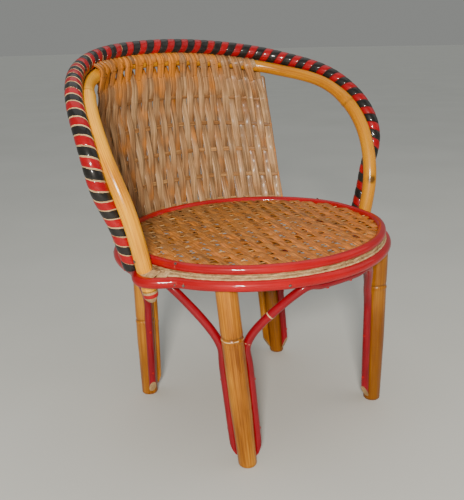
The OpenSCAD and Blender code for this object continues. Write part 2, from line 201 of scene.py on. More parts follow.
# ---------------------------------------------------------------- meshes
class Shape:
    """Gathers the vertices, faces and surface values of one piece.

    along holds a place on the piece's own surface (across, depth, length), which the materials read as grain
    direction. tone tells one strip from another, and on some pieces it also holds painted highlight and painted
    shade.
    wear is bare wood or chipped paint, and the darkening value holds real dirt and also painted shade in
    recesses and between strips.
    """

    def __init__(self):
        self.co, self.along, self.faces, self.slots = [], [], [], []
        self.values = {"tone": [], "wear": [], "dirt": []}
        self.count = 0

    def add(self, co, along, **values):
        """Adds vertices and gives the number of the first."""
        n = len(co)
        self.co.append(co)
        self.along.append(along)
        for name, rows in self.values.items():
            rows.append(np.broadcast_to(np.asarray(values.get(name, 0.0), float).reshape(-1), (n,)))
        self.count += n
        return self.count - n

    def grid(self, co, along, looped=False, slot=0, caps=False, cap_slot=None, **values):
        """A swept surface: co is rings x points x 3. looped joins the last ring to the first."""
        n, m = co.shape[:2]
        flat = {k: np.broadcast_to(v, (n, m)).reshape(-1) for k, v in values.items()}
        base = self.add(co.reshape(-1, 3), along.reshape(-1, 3), **flat)
        slot = np.broadcast_to(slot, (n,))
        for i in range(n if looped else n - 1):
            a, b = base + i * m, base + (i + 1) % n * m
            for k in range(m):
                j = (k + 1) % m
                self.faces.append((a + k, a + j, b + j, b + k))
                self.slots.append(int(slot[i]))
        if caps:
            for ring, flip in ((0, True), (n - 1, False)):
                there = {k: v.reshape(n, m)[ring] for k, v in flat.items()}
                base = self.add(co[ring], along[ring], **there)
                face = [base + k for k in range(m)]
                self.faces.append(tuple(face[::-1] if flip else face))
                self.slots.append(int(slot[ring]) if cap_slot is None else cap_slot)

    def piece(self, name, slot, materials, *nodes):
        """Makes the gathered shape into an object that stands in for nodes."""
        mesh = bpy.data.meshes.new(name)
        co = np.vstack(self.co) * MM
        mesh.from_pydata(co.tolist(), [], self.faces)
        mesh.polygons.foreach_set("material_index", self.slots)
        mesh.polygons.foreach_set("use_smooth", [len(f) == 4 for f in self.faces])
        place = mesh.attributes.new("along", "FLOAT_VECTOR", "POINT")
        place.data.foreach_set("vector", (np.vstack(self.along) * MM).astype(np.float32).ravel())
        for key, rows in self.values.items():
            layer = mesh.attributes.new(key, "FLOAT", "POINT")
            layer.data.foreach_set("value", np.concatenate(rows).astype(np.float32))
        for material in materials:
            mesh.materials.append(material)
        mesh.update()
        piece = bpy.data.objects.new(name, mesh)
        bpy.context.scene.collection.objects.link(piece)
        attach(piece, "root")
        if nodes:
            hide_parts(*nodes)


def round_along(r, angle, length):
    """The along values of a round pole: across, depth and length."""
    across, depth = r * np.cos(angle), r * np.sin(angle)
    return np.stack([across, depth, np.broadcast_to(length[:, None], across.shape)], -1)


def tube(shape, path, radius, sides, looped=False, **values):
    """Sweeps a round section along path. radius may be one number, or one for each point of the path."""
    n = len(path)
    if looped:
        t = unit(np.roll(path, -1, 0) - np.roll(path, 1, 0))
        u = unit(np.cross(t, [0, 0, 1.0]))
    else:
        t = tangents(path)
        u = carried(t, (1, 0, 0))
    v = np.cross(t, u)
    angle = np.arange(sides) * 2 * math.pi / sides
    r = np.broadcast_to(radius, (n,))[:, None, None]
    out = np.cos(angle)[None, :, None] * u[:, None] + np.sin(angle)[None, :, None] * v[:, None]
    shape.grid(path[:, None] + r * out, round_along(r[..., 0], angle, lengths(path)), looped=looped, **values)


def strip_section(points):
    """A flat cane strip's section, 1 wide and 1 thick, with rounded edges and crowned faces."""
    a = np.arange(points) * 2 * math.pi / points
    squareness = 0.42
    return np.stack([0.5 * np.sign(np.cos(a)) * np.abs(np.cos(a)) ** squareness, 0.5 * np.sin(a)], -1)


def strip(shape, path, across, width, thick, offset=0.0, points=12, roll=0.0, **values):
    """Sweeps a flat strip along path. across points over its width, and offset shifts its grain."""
    t = tangents(path)
    across = square_to(np.broadcast_to(across, path.shape), t)
    out = np.cross(t, across)
    turned = np.broadcast_to(roll, (len(path),))[:, None]
    c, s = np.cos(turned), np.sin(turned)
    across, out = across * c + out * s, out * c - across * s
    width = np.broadcast_to(width, (len(path),))
    section = strip_section(points)
    x = width[:, None] * section[None, :, 0]
    y = np.broadcast_to(thick * section[None, :, 1], x.shape)
    co = path[:, None] + x[..., None] * across[:, None] + y[..., None] * out[:, None]
    along = np.stack([x, y, np.broadcast_to(lengths(path)[:, None] + offset, x.shape)], -1)
    shape.grid(co, along, caps=True, **values)


def noise_1d(s, scale, seed):
    """Smooth made-up variation along a length, about -1 to 1. Each use has a seed of its own."""
    local = np.random.RandomState(seed)
    out = np.zeros_like(s, float)
    for k in range(3):
        out += np.sin(s / scale * 2 * math.pi * 1.9**k + local.uniform(0, 6.3)) / 1.7**k
    return out / 1.9


# ---------------------------------------------------------------- materials
class Nodes:
    """Short names for the shader nodes that the materials share."""

    def __init__(self, name):
        self.material = bpy.data.materials.new(name)
        self.material.use_nodes = True
        self.tree = self.material.node_tree
        self.shader = self.tree.nodes["Principled BSDF"]
        self.along = self.value("along", "Vector")

    def node(self, kind, **settings):
        made = self.tree.nodes.new(kind)
        for key, value in settings.items():
            setattr(made, key, value)
        return made

    def link(self, a, b):
        self.tree.links.new(a, b)

    def value(self, name, output="Fac"):
        return self.node("ShaderNodeAttribute", attribute_name=name).outputs[output]

    def stretched(self, scale, vector=None):
        mapping = self.node("ShaderNodeMapping")
        mapping.inputs["Scale"].default_value = scale
        self.link(vector or self.along, mapping.inputs["Vector"])
        return mapping.outputs["Vector"]

    def noise(self, scale, vector=None, detail=4.0, rough=0.55):
        """Noise with its own scale along each axis, per metre."""
        made = self.node("ShaderNodeTexNoise")
        made.inputs["Scale"].default_value = 1.0
        made.inputs["Detail"].default_value = detail
        made.inputs["Roughness"].default_value = rough
        self.link(self.stretched(scale, vector), made.inputs["Vector"])
        return made.outputs["Fac"]

    def ramp(self, fac, *stops):
        made = self.node("ShaderNodeValToRGB")
        ramp = made.color_ramp
        while len(ramp.elements) < len(stops):
            ramp.elements.new(0.5)
        for element, (at, colour) in zip(ramp.elements, stops):
            element.position = at
            grey = isinstance(colour, (int, float))
            element.color = (colour, colour, colour, 1) if grey else (*colour, 1)
        self.link(fac, made.inputs["Fac"])
        return made.outputs["Color"]

    def math(self, kind, a, b):
        made = self.node("ShaderNodeMath", operation=kind, use_clamp=False)
        for socket, value in zip(made.inputs, (a, b)):
            if isinstance(value, (int, float)):
                socket.default_value = value
            else:
                self.link(value, socket)
        return made.outputs["Value"]

    def mix(self, fac, a, b, blend="MIX"):
        made = self.node("ShaderNodeMix", data_type="RGBA", blend_type=blend)
        for socket, value in zip((made.inputs[0], made.inputs[6], made.inputs[7]), (fac, a, b)):
            if isinstance(value, (int, float)):
                socket.default_value = value
            elif isinstance(value, tuple):
                socket.default_value = (*value, 1)
            else:
                self.link(value, socket)
        return made.outputs[2]

    def bump(self, height, distance, strength=1.0, below=None):
        made = self.node("ShaderNodeBump")
        made.inputs["Strength"].default_value = strength
        made.inputs["Distance"].default_value = distance
        self.link(height, made.inputs["Height"])
        if below is not None:
            self.link(below, made.inputs["Normal"])
        return made.outputs["Normal"]

    def finish(self, colour, rough, normal, coat=0.0, coat_rough=0.1, metal=0.0, specular=0.5):
        self.link(colour, self.shader.inputs["Base Color"])
        self.link(rough, self.shader.inputs["Roughness"])
        self.link(normal, self.shader.inputs["Normal"])
        self.shader.inputs["Metallic"].default_value = metal
        self.shader.inputs["Specular IOR Level"].default_value = specular
        self.shader.inputs["Coat Weight"].default_value = coat
        self.shader.inputs["Coat Roughness"].default_value = coat_rough
        return self.material

    def chipped(self):
        """Where wear and a rough noise together cross a line: ragged chips of paint or skin."""
        rough = self.math("MULTIPLY", self.noise((420, 420, 420), detail=3), 0.55)
        return self.ramp(self.math("ADD", self.value("wear"), rough), (0.82, 0.0), (0.9, 1.0))

    def dirty(self, colour, strength, dirt):
        """Darkens the colour towards a dark colour where the surface's darkening value says so: real dirt, and
        painted shade.
        """
        return self.mix(self.math("MULTIPLY", self.value("dirt"), strength), colour, dirt)


# Cane with its skin off, and three dark colours for dirt and for painted shade
CREAM = (0.62, 0.43, 0.22)
POLE_DIRT = (0.035, 0.018, 0.008)
PAINT_SHADE = (0.03, 0.015, 0.012)
WEAVE_DIRT_AND_SHADE = (0.03, 0.014, 0.006)


def cane_pole(name, dark, mid, light, coat=0.4, on_object=False):
    """Varnished cane: fine long fibres, slow drifts of tone, faint cross cracks, cream where the skin is off.

    on_object is for the frame's own nodes, which have no surface values.
    """
    n = Nodes(name)
    if on_object:
        n.along = n.node("ShaderNodeTexCoord").outputs["Object"]
    fibre = n.noise((900, 900, 14), detail=5)
    patch = n.noise((34, 34, 11), detail=3)
    blend = n.math("ADD", n.math("MULTIPLY", fibre, 0.5), n.math("MULTIPLY", patch, 0.5))
    colour = n.ramp(blend, (0.36, dark), (0.5, mid), (0.64, light))
    crack = n.ramp(n.noise((26, 26, 520), detail=2, rough=0.4), (0.27, 1.0), (0.32, 0.0))
    colour = n.mix(n.math("MULTIPLY", crack, 0.35), colour, tuple(0.42 * c for c in dark))
    spots = n.ramp(n.noise((180, 180, 90), detail=6, rough=0.7), (0.68, 0.0), (0.74, 1.0))
    colour = n.mix(n.math("MULTIPLY", spots, 0.4), colour, tuple(0.35 * c for c in dark))
    if not on_object:
        colour = n.mix(n.math("MULTIPLY", n.value("tone"), 0.8), colour, tuple(0.8 * c for c in dark))
        colour = n.mix(n.chipped(), colour, CREAM)
        colour = n.dirty(colour, 0.85, POLE_DIRT)
    rough = n.ramp(patch, (0.3, 0.26), (0.7, 0.42))
    height = n.math("SUBTRACT", fibre, n.math("MULTIPLY", crack, 0.6))
    normal = n.bump(height, 0.00022, 0.5)
    return n.finish(colour, rough, normal, coat=coat, coat_rough=0.14, specular=0.15)


def paint(name, deep, bright, on_object=False):
    """Old glossy enamel over cane: slow drifts of tone, brush and fibre marks, chips down to the cane."""
    n = Nodes(name)
    if on_object:
        n.along = n.node("ShaderNodeTexCoord").outputs["Object"]
    patch = n.noise((22, 22, 14), detail=4)
    fibre = n.noise((520, 520, 24), detail=4)
    blend = n.math("ADD", n.math("MULTIPLY", patch, 0.7), n.math("MULTIPLY", fibre, 0.3))
    colour = n.ramp(blend, (0.35, deep), (0.65, bright))
    dust = n.ramp(n.noise((300, 300, 150), detail=6, rough=0.75), (0.66, 0.0), (0.78, 1.0))
    colour = n.mix(n.math("MULTIPLY", dust, 0.25), colour, tuple(0.3 * c for c in deep))
    chip = n.chipped()
    colour = n.mix(chip, colour, CREAM)
    # On the rail's strips this darkening is painted shade along their edges; the other painted pieces carry
    # none.
    colour = n.dirty(colour, 0.85, PAINT_SHADE)
    rough = n.mix(chip, n.ramp(patch, (0.3, 0.34), (0.7, 0.48)), (0.6, 0.6, 0.6))
    brushed = n.math("MULTIPLY", n.math("ADD", fibre, patch), 0.6)
    height = n.math("SUBTRACT", brushed, n.math("MULTIPLY", chip, 1.2))
    return n.finish(colour, rough, n.bump(height, 0.0003, 0.5), coat=0.5, coat_rough=0.05, specular=0.15)


def weave_strip(name, warm, plain, pale, coat):
    """Split cane with its glossy skin. tone runs from warm brown to pale tan, strip by strip."""
    n = Nodes(name)
    fibre = n.noise((1500, 1500, 16), detail=6, rough=0.6)
    drift = n.noise((90, 90, 22), detail=3)
    tone = n.math("ADD", n.value("tone"), n.math("MULTIPLY", n.math("SUBTRACT", drift, 0.5), 0.9))
    colour = n.ramp(tone, (0.12, warm), (0.5, plain), (0.9, pale))
    streak = n.ramp(fibre, (0.34, 0.3), (0.5, 0.95), (0.7, 1.6))
    colour = n.mix(0.75, colour, streak, blend="MULTIPLY")
    coarse = n.ramp(n.noise((460, 460, 9), detail=3), (0.38, 0.55), (0.6, 1.2))
    colour = n.mix(0.8, colour, coarse, blend="MULTIPLY")
    specks = n.ramp(n.noise((700, 700, 260), detail=3), (0.66, 0.0), (0.72, 1.0))
    colour = n.mix(n.math("MULTIPLY", specks, 0.45), colour, tuple(0.3 * c for c in warm))
    colour = n.mix(n.chipped(), colour, CREAM)
    # In the weave this darkening is painted shade, where strips dip behind ribs and along their edges.
    colour = n.dirty(colour, 0.8, WEAVE_DIRT_AND_SHADE)
    rough = n.ramp(drift, (0.3, 0.34), (0.7, 0.56))
    return n.finish(colour, rough, n.bump(fibre, 0.0005, 0.7), coat=coat, coat_rough=0.16, specular=0.22)


def cut_cane(name):
    """Bare cut cane: pale, porous and matt, with dark pores and grey dirt."""
    n = Nodes(name)
    pores = n.noise((1300, 1300, 500), detail=4)
    patch = n.noise((150, 150, 150), detail=3)
    tone = n.math("ADD", n.value("tone"), n.math("SUBTRACT", patch, 0.5))
    colour = n.ramp(tone, (0.1, (0.16, 0.08, 0.03)), (0.5, (0.42, 0.26, 0.11)), (0.9, (0.6, 0.42, 0.21)))
    colour = n.mix(n.ramp(pores, (0.34, 0.75), (0.46, 0.0)), colour, (0.07, 0.035, 0.015))
    colour = n.dirty(colour, 0.8, WEAVE_DIRT_AND_SHADE)
    return n.finish(colour, n.ramp(patch, (0.3, 0.55), (0.7, 0.8)), n.bump(pores, 0.0005, 0.7))


def nail_steel(name):
    """Old wire nail: dull steel with brown rust."""
    n = Nodes(name)
    n.along = n.node("ShaderNodeTexCoord").outputs["Object"]
    rust = n.ramp(n.noise((900, 900, 900), detail=5), (0.45, 0.0), (0.6, 1.0))
    colour = n.mix(rust, (0.2, 0.19, 0.18), (0.09, 0.03, 0.015))
    rough = n.mix(rust, (0.35, 0.35, 0.35), (0.8, 0.8, 0.8))
    return n.finish(colour, rough, n.bump(rust, 0.0002, 0.6), metal=0.7)


def floor_material():
    n = Nodes("floor")
    n.along = n.node("ShaderNodeTexCoord").outputs["Object"]
    soft = n.noise((3, 3, 3), detail=2)
    colour = n.ramp(soft, (0.3, (0.52, 0.53, 0.5)), (0.7, (0.56, 0.57, 0.54)))
    grain = n.bump(n.noise((1500, 1500, 1500)), 0.0001, 0.2)
    return n.finish(colour, n.ramp(soft, (0.3, 0.75), (0.7, 0.85)), grain)


AMBER = ((0.17, 0.046, 0.002), (0.42, 0.145, 0.005), (0.68, 0.29, 0.018))
GOLDEN = ((0.48, 0.16, 0.003), (0.86, 0.37, 0.008), (0.96, 0.5, 0.02))
HOOP_CANE = cane_pole("hoop_cane", *GOLDEN, coat=0.35)
LEG_CANE = cane_pole("leg_cane", *AMBER)
HIDDEN_CANE = cane_pole("hidden_cane", *AMBER, coat=0.2, on_object=True)
RED = paint("red_enamel", (0.27, 0.0002, 0.003), (0.47, 0.0005, 0.005))
# The braces' red is a darker copy of the same enamel, painted shade under the seat.
SHADED_BRACE_RED = paint("shaded_brace_enamel", (0.14, 0.0002, 0.004), (0.3, 0.0004, 0.009))
RED_STRIP = paint("red_strip_enamel", (0.24, 0.0003, 0.004), (0.42, 0.0006, 0.006))
BLACK_STRIP = paint("black_strip_enamel", (0.006, 0.006, 0.006), (0.02, 0.018, 0.016))
SEAT_TONES = ((0.56, 0.17, 0.02), (0.43, 0.155, 0.026), (0.28, 0.13, 0.04))
BACK_TONES = ((0.6, 0.2, 0.018), (0.34, 0.172, 0.072), (0.48, 0.29, 0.14))
RIB_TONES = ((0.24, 0.1, 0.03), (0.34, 0.16, 0.055), (0.75, 0.46, 0.19))
SEAT_WEAVE = weave_strip("seat_weave", *SEAT_TONES, coat=0.25)
BACK_WEAVE = weave_strip("back_weave", *BACK_TONES, coat=0.1)
RIB_WEAVE = weave_strip("rib_weave", *RIB_TONES, coat=0.0)
CUT = cut_cane("cut_cane")
STEEL = nail_steel("nail_steel")
NAIL_PAINT = paint("nail_enamel", (0.3, 0.0015, 0.003), (0.5, 0.004, 0.004), on_object=True)


# ---------------------------------------------------------------- arm hoop's and rail's routes, as in the frame
# The hoop's right half from its top, as parts of half the seat's width, half its depth and the back's height
ARM_POINTS = both([
    (0, 1.168, 1), (0.493, 1.124, 0.978), (0.867, 0.818, 0.918), (1.1, 0.38, 0.815),
    (1.18, 0.044, 0.586), (1.12, -0.168, 0.237), (1.005, -0.175, -0.21),
])
# The side of the hoop that the rail lies on, at each of those points
RAIL_DIRS = both([
    (0, 0, 1), (0.15, -0.05, 1), (0.5, 0.1, 0.85), (0.85, 0.05, 0.5),
    (0.97, -0.1, 0.2), (0.5, 0.86, 0), (0.2, 0.98, 0),
])
ARM_N = 320
RAIL_N = 304
arm_raw = smooth(ARM_POINTS * [SEAT_W / 2, SEAT_D / 2, BACK_H] + [0, MID_Y, SEAT_H], 24)
arm_path = even(arm_raw, ARM_N)
arm_s = lengths(arm_path)
ARM_LENGTH = arm_s[-1]
RAIL_GAP = (HOOP_T + RAIL_T) / 2 + WRAP_T + 0.2
rail_dir = at_length(smooth(RAIL_DIRS, 24), lengths(arm_raw), arm_s)
rail_path = arm_path + RAIL_GAP * square_to(rail_dir, tangents(arm_path))
rail_path = even(rail_path[rail_path[:, 2] > LOWER_Z + TRIM_T / 2 + 1], RAIL_N)


# ---------------------------------------------------------------- legs
# For each leg: its name, the middles of its foot and top, its joint's height and how dark it is, the right-hand
# legs darker as painted shade away from the light
LEG_NAMES = ["leg_front_left", "leg_front_right", "leg_back_left", "leg_back_right"]
LEG_FEET = [(-98, -117), (100, -109.6), (-100, 74.6), (97, 60)]
LEG_TOPS = [(-104.7, -96.2), (97.7, -111.2), (-100, 75), (97, 87)]
LEG_JOINTS = [136, 144, 96, 128]
LEG_SHADES = [0.0, 0.7, 0.0, 0.3]


def leg_axis(i, z):
    foot, top = np.array(LEG_FEET[i]), np.array(LEG_TOPS[i])
    z = np.asarray(z, float)
    return np.concatenate([foot + (top - foot) * z[..., None] / UNDER_Z, z[..., None]], -1)


def leg_radius(z):
    return (FOOT_T + (LEG_T - FOOT_T) * clamp(z / 70)) / 2


def make_leg(i):
    """A pole with a ridged joint, pale where its skin is broken at the joint and scuffed at the foot."""
    shape = Shape()
    z = np.concatenate([[0, 0.6, 1.4], np.linspace(2.5, UNDER_Z, 260)])
    joint = LEG_JOINTS[i]
    foot_rounding = 0.9 * hump(z, 0, 0.7)
    ridge, groove = 0.55 * hump(z, joint, 1.6), 0.45 * hump(z, joint + 3.6, 1.8)
    r = leg_radius(z) - foot_rounding + ridge - groove + 0.12 * noise_1d(z, 80, 20 + i)
    a = np.arange(48) * 2 * math.pi / 48
    oval_r = r[:, None] * (1 + 0.012 * np.cos(2 * a + i))[None]
    ring = np.stack([np.cos(a), np.sin(a), 0 * a], -1)
    co = leg_axis(i, z)[:, None] + oval_r[..., None] * ring
    # The broken skin at the joint follows a ragged line.
    ragged = joint + 0.5 * np.sin(3 * a + i)
    wear = (0.62 if i == 0 else 0.5) * hump(z[:, None], ragged + 1.2, 0.9, 4) + 0.45 * hump(z[:, None], 0, 7)
    dirt = 0.7 * hump(z[:, None], ragged + 3.4, 0.7) + 0.3 * hump(z[:, None], 0, 2)
    tone = LEG_SHADES[i] + 0.55 * clamp(1.1 - z / UNDER_Z) ** 1.3 + 0.12 * noise_1d(z, 90, 30 + i)
    shape.grid(co, round_along(oval_r, a, z + 300 * i), caps=True, cap_slot=1,
               wear=wear, dirt=dirt, tone=clamp(tone)[:, None])
    shape.piece(LEG_NAMES[i] + "_cane", "cane", [LEG_CANE, CUT], LEG_NAMES[i])


# ---------------------------------------------------------------- braces
def beside(i, q, z, gap):
    """A brace's point beside leg i, on the side that q faces."""
    return leg_axis(i, z) + (leg_radius(z) + BRACE_T / 2 + gap) * unit([q[0], q[1], 0])


def under(f, e):
    """A brace's point under the seat's edge, in direction f and e outside the edge's centreline."""
    return np.array([*oval(f, e), UNDER_Z - BRACE_T / 2 - 0.1])


def up_leg(i, q):
    """A brace's points up leg i, from its cut end to where it starts to turn away."""
    return [beside(i, q, 5, 0), beside(i, q, 40, 0), beside(i, q, BRACE_H - 25, 0), beside(i, q, BRACE_H, 0.3)]


def make_brace(node, slot, material, a, qa, b, qb, fs, es, chips=()):
    """One rod bent from leg a up under the seat and down leg b, its ends cut on a slope.

    qa and qb are the sides of the legs it lies on, fs and es its points under the seat, and chips the places
    along it, 0 to 1, where the paint is chipped, with how bare each is.
    """
    arch = [under(f, e) for f, e in zip(fs, es)]
    turn_a, turn_b = [
        rise + 0.3 * (end - rise)
        for rise, end in ((beside(a, qa, BRACE_H + 10, 2), arch[0]), (beside(b, qb, BRACE_H + 10, 2), arch[-1]))
    ]
    route = [*up_leg(a, qa), turn_a, *arch, turn_b, *up_leg(b, qb)[::-1]]
    path = even(smooth(np.array(route), 24), 480)
    shape = Shape()
    s = lengths(path)
    to_end = np.minimum(s, s[-1] - s)
    wear = sum((depth * hump(s, c * s[-1], 1.1, 4) for c, depth in chips), 0 * s) + 0.25 * hump(to_end, 14, 5)
    sides = 28
    r = BRACE_T / 2 + 0.08 * noise_1d(s, 60, len(node))
    t = tangents(path)
    u = carried(t, (qa[1], -qa[0], 0))
    v = np.cross(t, u)
    angle = np.arange(sides) * 2 * math.pi / sides
    ring = np.cos(angle)[None, :, None] * u[:, None] + np.sin(angle)[None, :, None] * v[:, None]
    co = path[:, None] + r[:, None, None] * ring
    # Slope the two ends: each point slides up the rod by how far it faces away from the leg.
    bevel, easing = 17.0, 12
    for end, q, sign in ((0, qa, 1), (-1, qb, -1)):
        face = unit([q[0], q[1], 0])
        lift = bevel * (1 + ring[end] @ face) / 2
        reach = s if end == 0 else s[-1] - s
        keep = clamp(1 - reach[:, None] / (lift[None] + easing))
        co += (sign * t[end])[None, None] * (lift[None] * keep)[..., None]
    tone = np.where(to_end < 1.5, 0.45, 0.2)
    along = round_along(r[:, None], angle, s)
    shape.grid(co, along, caps=True, cap_slot=1, wear=wear[:, None], tone=tone[:, None])
    shape.piece(node + "_rod", slot, [material, CUT], node)


# ---------------------------------------------------------------- trims and the strands' cut ends between them
def top_e(f):
    """How far the top trim lies outside the oval: it is pinched in behind the arm hoop's two ends."""
    return -3.4 * (near(f, 190, 24) + near(f, 350, 24))


def low_e(f):
    """How far the lower trim lies outside the oval: it bulges out round the arm hoop's two ends."""
    return LOWER_E + 16 * (near(f, 194, 14) + near(f, 346, 14))


def round_seat(f, e, z):
    """A closed route round the seat."""
    return np.concatenate([oval(f, e), np.full((len(f), 1), z)], -1)


def make_trim(node, out, z, seed, chips, thick):
    """A painted hoop. chips are the directions of its nails, where the paint is chipped on the outer side."""
    f = np.linspace(0, 360, 481)[:-1]
    path = round_seat(f, out(f), z)
    s = lengths(path)
    path[:, 2] += 0.25 * noise_1d(s, s[-1] / 3, seed)
    wear = sum(0.6 * near(f, c, 1.3) for c in chips)
    shape = Shape()
    sides = 32
    outer = clamp(-np.cos(np.arange(sides) * 2 * math.pi / sides - math.pi))
    radius = thick / 2 + 0.06 * noise_1d(s, 70, seed + 1)
    tube(shape, path, radius, sides, looped=True, wear=wear[:, None] * outer[None])
    shape.piece(node + "_rod", "red_cane", [RED], node)


# The strips between the trims: how far up from the lower trim, radius, tone and how far out.
# The first lies behind the others.
EDGE_STRIPS = [
    (0.5, 3.0, 0.1, -1.8), (0.4, 1.35, 0.8, 1.0), (0.52, 1.15, 0.35, 1.0),
    (0.62, 1.1, 0.6, 1.0), (0.72, 1.2, 0.25, 1.0),
]


def make_edge_band():
    """Thin split strips packed one over another between the two trims, each running round the seat."""
    shape = Shape()
    g = np.linspace(0, 360, 721)[:-1]
    bulge = low_e(g) - LOWER_E
    for row, (up, r, tone, proud) in enumerate(EDGE_STRIPS):
        e = (1 - up) * (LOWER_E + 0.75 * bulge) + up * top_e(g) + proud
        path = round_seat(g, e, LOWER_Z + (SEAT_H - LOWER_Z) * up)
        run = lengths(path)
        path[:, 2] += 0.3 * noise_1d(run, 47 - 4 * row, 70 + row)
        shade = tone + 0.22 * noise_1d(run, 31, 80 + row)
        dirt = 0.45 * clamp(noise_1d(run, 9, 90 + row) - 0.35)
        radius = r * (1 + 0.18 * noise_1d(run, 13, 60 + row))
        tube(shape, path, radius, 12, looped=True, tone=shade[:, None], dirt=dirt[:, None])
    # A thin pale lining shows under the lower trim.
    tube(shape, round_seat(g, low_e(g) - 1.6, UNDER_Z + 0.9), 1.5, 12, looped=True, tone=0.7)
    # Wider split ends fill the gap beside the arm hoop's two tips.
    draws = random.Random(11)
    for f in [*range(184, 212, 4), *range(328, 356, 4)]:
        top = np.array([*oval(f, top_e(f) + 2.5), SEAT_H - 4.2])
        low = np.array([*oval(f, low_e(f) - 2.5), LOWER_Z + TRIM_T / 2 - 0.3 + draws.uniform(-0.3, 0.3)])
        bow = unit([*(oval(f, 10) - oval(f, 0)), 0.0])
        path = smooth([top, (top + low) / 2 + [0, 0, 0.4], low], 4)
        strip(shape, path, np.cross(bow, [0, 0, 1.0]), draws.uniform(10, 12), 1.6, offset=60 * f, points=10,
              tone=draws.uniform(0.5, 0.8))
    shape.piece("seat_edge_strips", "cut_cane", [CUT], "seat_edge_band")


# ---------------------------------------------------------------- seat weave
SEAT_PITCH = (SEAT_W - TRIM_T - 4) / SEAT_N
RIB_PITCH = (SEAT_D - TRIM_T) / (SEAT_RIB_N + 0.6)
# How far a seat strand swings to each side of the ribs
SEAT_WAVE = 1.35


def rib_y(i):
    return (i - (SEAT_RIB_N - 1) / 2) * RIB_PITCH


def make_seat_ribs():
    shape = Shape()
    for i in range(SEAT_RIB_N):
        w = oval_half_width(abs(rib_y(i)) + RIB_T / 2, -TRIM_T / 2 - 0.5)
        x = np.linspace(-w, w, 121)
        path = np.stack([x, MID_Y + rib_y(i) + 0.5 * noise_1d(x, 160, 40 + i), np.full_like(x, WEAVE_Z)], -1)
        tone = 0.5 + 0.32 * noise_1d(x, 37, 640 + i)
        strip(shape, path, (0, 1, 0), 1.9, 1.1, offset=400 * i, tone=tone[:, None])
    shape.piece("seat_rib_canes", "weave", [RIB_WEAVE], "seat_ribs")


def make_seat_strands(first, name, node):
    """Every second strand, starting at first. Neighbours pass over and under the ribs in turn."""
    shape = Shape()
    for i in range(first, SEAT_N, 2):
        draws = random.Random(100 + i)
        x0 = (i - (SEAT_N - 1) / 2) * SEAT_PITCH
        h = oval_half_depth(abs(x0) + STRAND_W / 3, -TRIM_T / 2 + 1.4)
        y = np.linspace(-h, h, max(24, int(2 * h / 1.7)))
        swing = np.cos(math.pi * (y - rib_y(0)) / RIB_PITCH + math.pi * i)
        swing = np.sign(swing) * np.abs(swing) ** 2.2
        z = WEAVE_Z + SEAT_WAVE * ease((h - np.abs(y)) / 12) * (swing + 0.35 * noise_1d(y, 40, 700 + i))
        x = x0 + 0.35 * noise_1d(y, 120, 60 + i)
        # A strand is squeezed a little where it dips below a rib, and it is darkened there with painted shade.
        width = SEAT_PITCH * 1.05 - 0.75 * clamp(-swing)
        dirt = 0.35 * clamp(-swing) ** 5
        tone = draws.gauss(0.42, 0.14) + 0.0028 * y + 0.12 * noise_1d(y, 50, 600 + i)
        path = np.stack([x, MID_Y + y, z], -1)
        strip(shape, path, (1, 0, 0), width, 1.6, offset=300 * i, roll=0.16 * noise_1d(y, 45, 500 + i),
              tone=tone[:, None], dirt=dirt[:, None])
    shape.piece(name, "weave", [SEAT_WEAVE], node)


# ---------------------------------------------------------------- arm hoop, rail and wrapping
# Places along the arm hoop, 0 at its left tip and 1 at its right one
HOOP_JOINTS = [0.262, 0.79]
KNOT_AT = 0.912


def knot_on(path, angle, s):
    """A dark knot on the front of the right arm, as a value for each point of the hoop's surface."""
    t = tangents(path)
    u = carried(t, (1, 0, 0))
    at = int(np.argmin(np.abs(s - KNOT_AT * ARM_LENGTH)))
    facing = np.array([-0.45, -0.85, 0.25])
    knot_angle = math.atan2(facing @ np.cross(t[at], u[at]), facing @ u[at])
    turn = (angle - knot_angle + math.pi) % (2 * math.pi) - math.pi
    return hump(s[:, None], KNOT_AT * ARM_LENGTH, 3.4) * hump(turn[None] * HOOP_T / 2, 0, 4.0)


def make_arm_hoop():
    """The bent hoop. Its blunt lower tips are bare cut wood with a band of red paint between two pale ones."""
    # The rings lie closer together at the two tips.
    tip = np.linspace(0, 16, 33)
    s = np.concatenate([tip, arm_s[(arm_s > 16.5) & (arm_s < ARM_LENGTH - 16.5)], ARM_LENGTH - tip[::-1]])
    path = at_length(arm_path, arm_s, s)
    edge = np.minimum(s, ARM_LENGTH - s)
    path[:, 2] -= 3.0 * clamp(1 - edge / 14)
    r = np.full_like(s, HOOP_T / 2) + 0.1 * noise_1d(s, 120, 3)
    r = r * (0.42 + 0.58 * np.sin(np.pi / 2 * clamp(edge / 7)))
    # The cane is a little thinner between its joints, and each joint is a ridge with a groove and broken skin.
    part = s / ARM_LENGTH
    r = r - 0.9 * ease((part - HOOP_JOINTS[0]) / 0.03) * ease((HOOP_JOINTS[1] - part) / 0.03)
    wear, dirt = 0 * s, 0 * s
    for joint in HOOP_JOINTS:
        at = joint * ARM_LENGTH
        r = r + 0.4 * hump(s, at, 1.8) - 0.3 * hump(s, at + 4, 2)
        wear = wear + 0.5 * hump(s, at + 1.6, 0.9)
        dirt = dirt + 0.5 * hump(s, at + 3.6, 0.6)
    sides = 48
    angle = np.arange(sides) * 2 * math.pi / sides
    dark = dirt[:, None] + 2.4 * knot_on(path, angle, s) + hump(edge, 11.3, 0.6)[:, None]
    slot = np.where((edge < 5) | ((edge > 8) & (edge < 10.5)), 1, np.where(edge <= 8, 2, 0))
    # Beyond the tips the hoop darkens from its left arm over the top and stays dark down the right arm: partly
    # the cane's own browner colour, partly painted shade away from the light.
    tone = np.where(edge < 11, 0.55, 0.02 + 0.75 * ease((part - 0.25) / 0.35))
    shape = Shape()
    tube(shape, path, r, sides, caps=True, cap_slot=1, slot=slot,
         wear=wear[:, None], dirt=clamp(dark), tone=tone[:, None])
    shape.piece("arm_hoop_cane", "cane", [HOOP_CANE, CUT, RED], "arm_hoop")


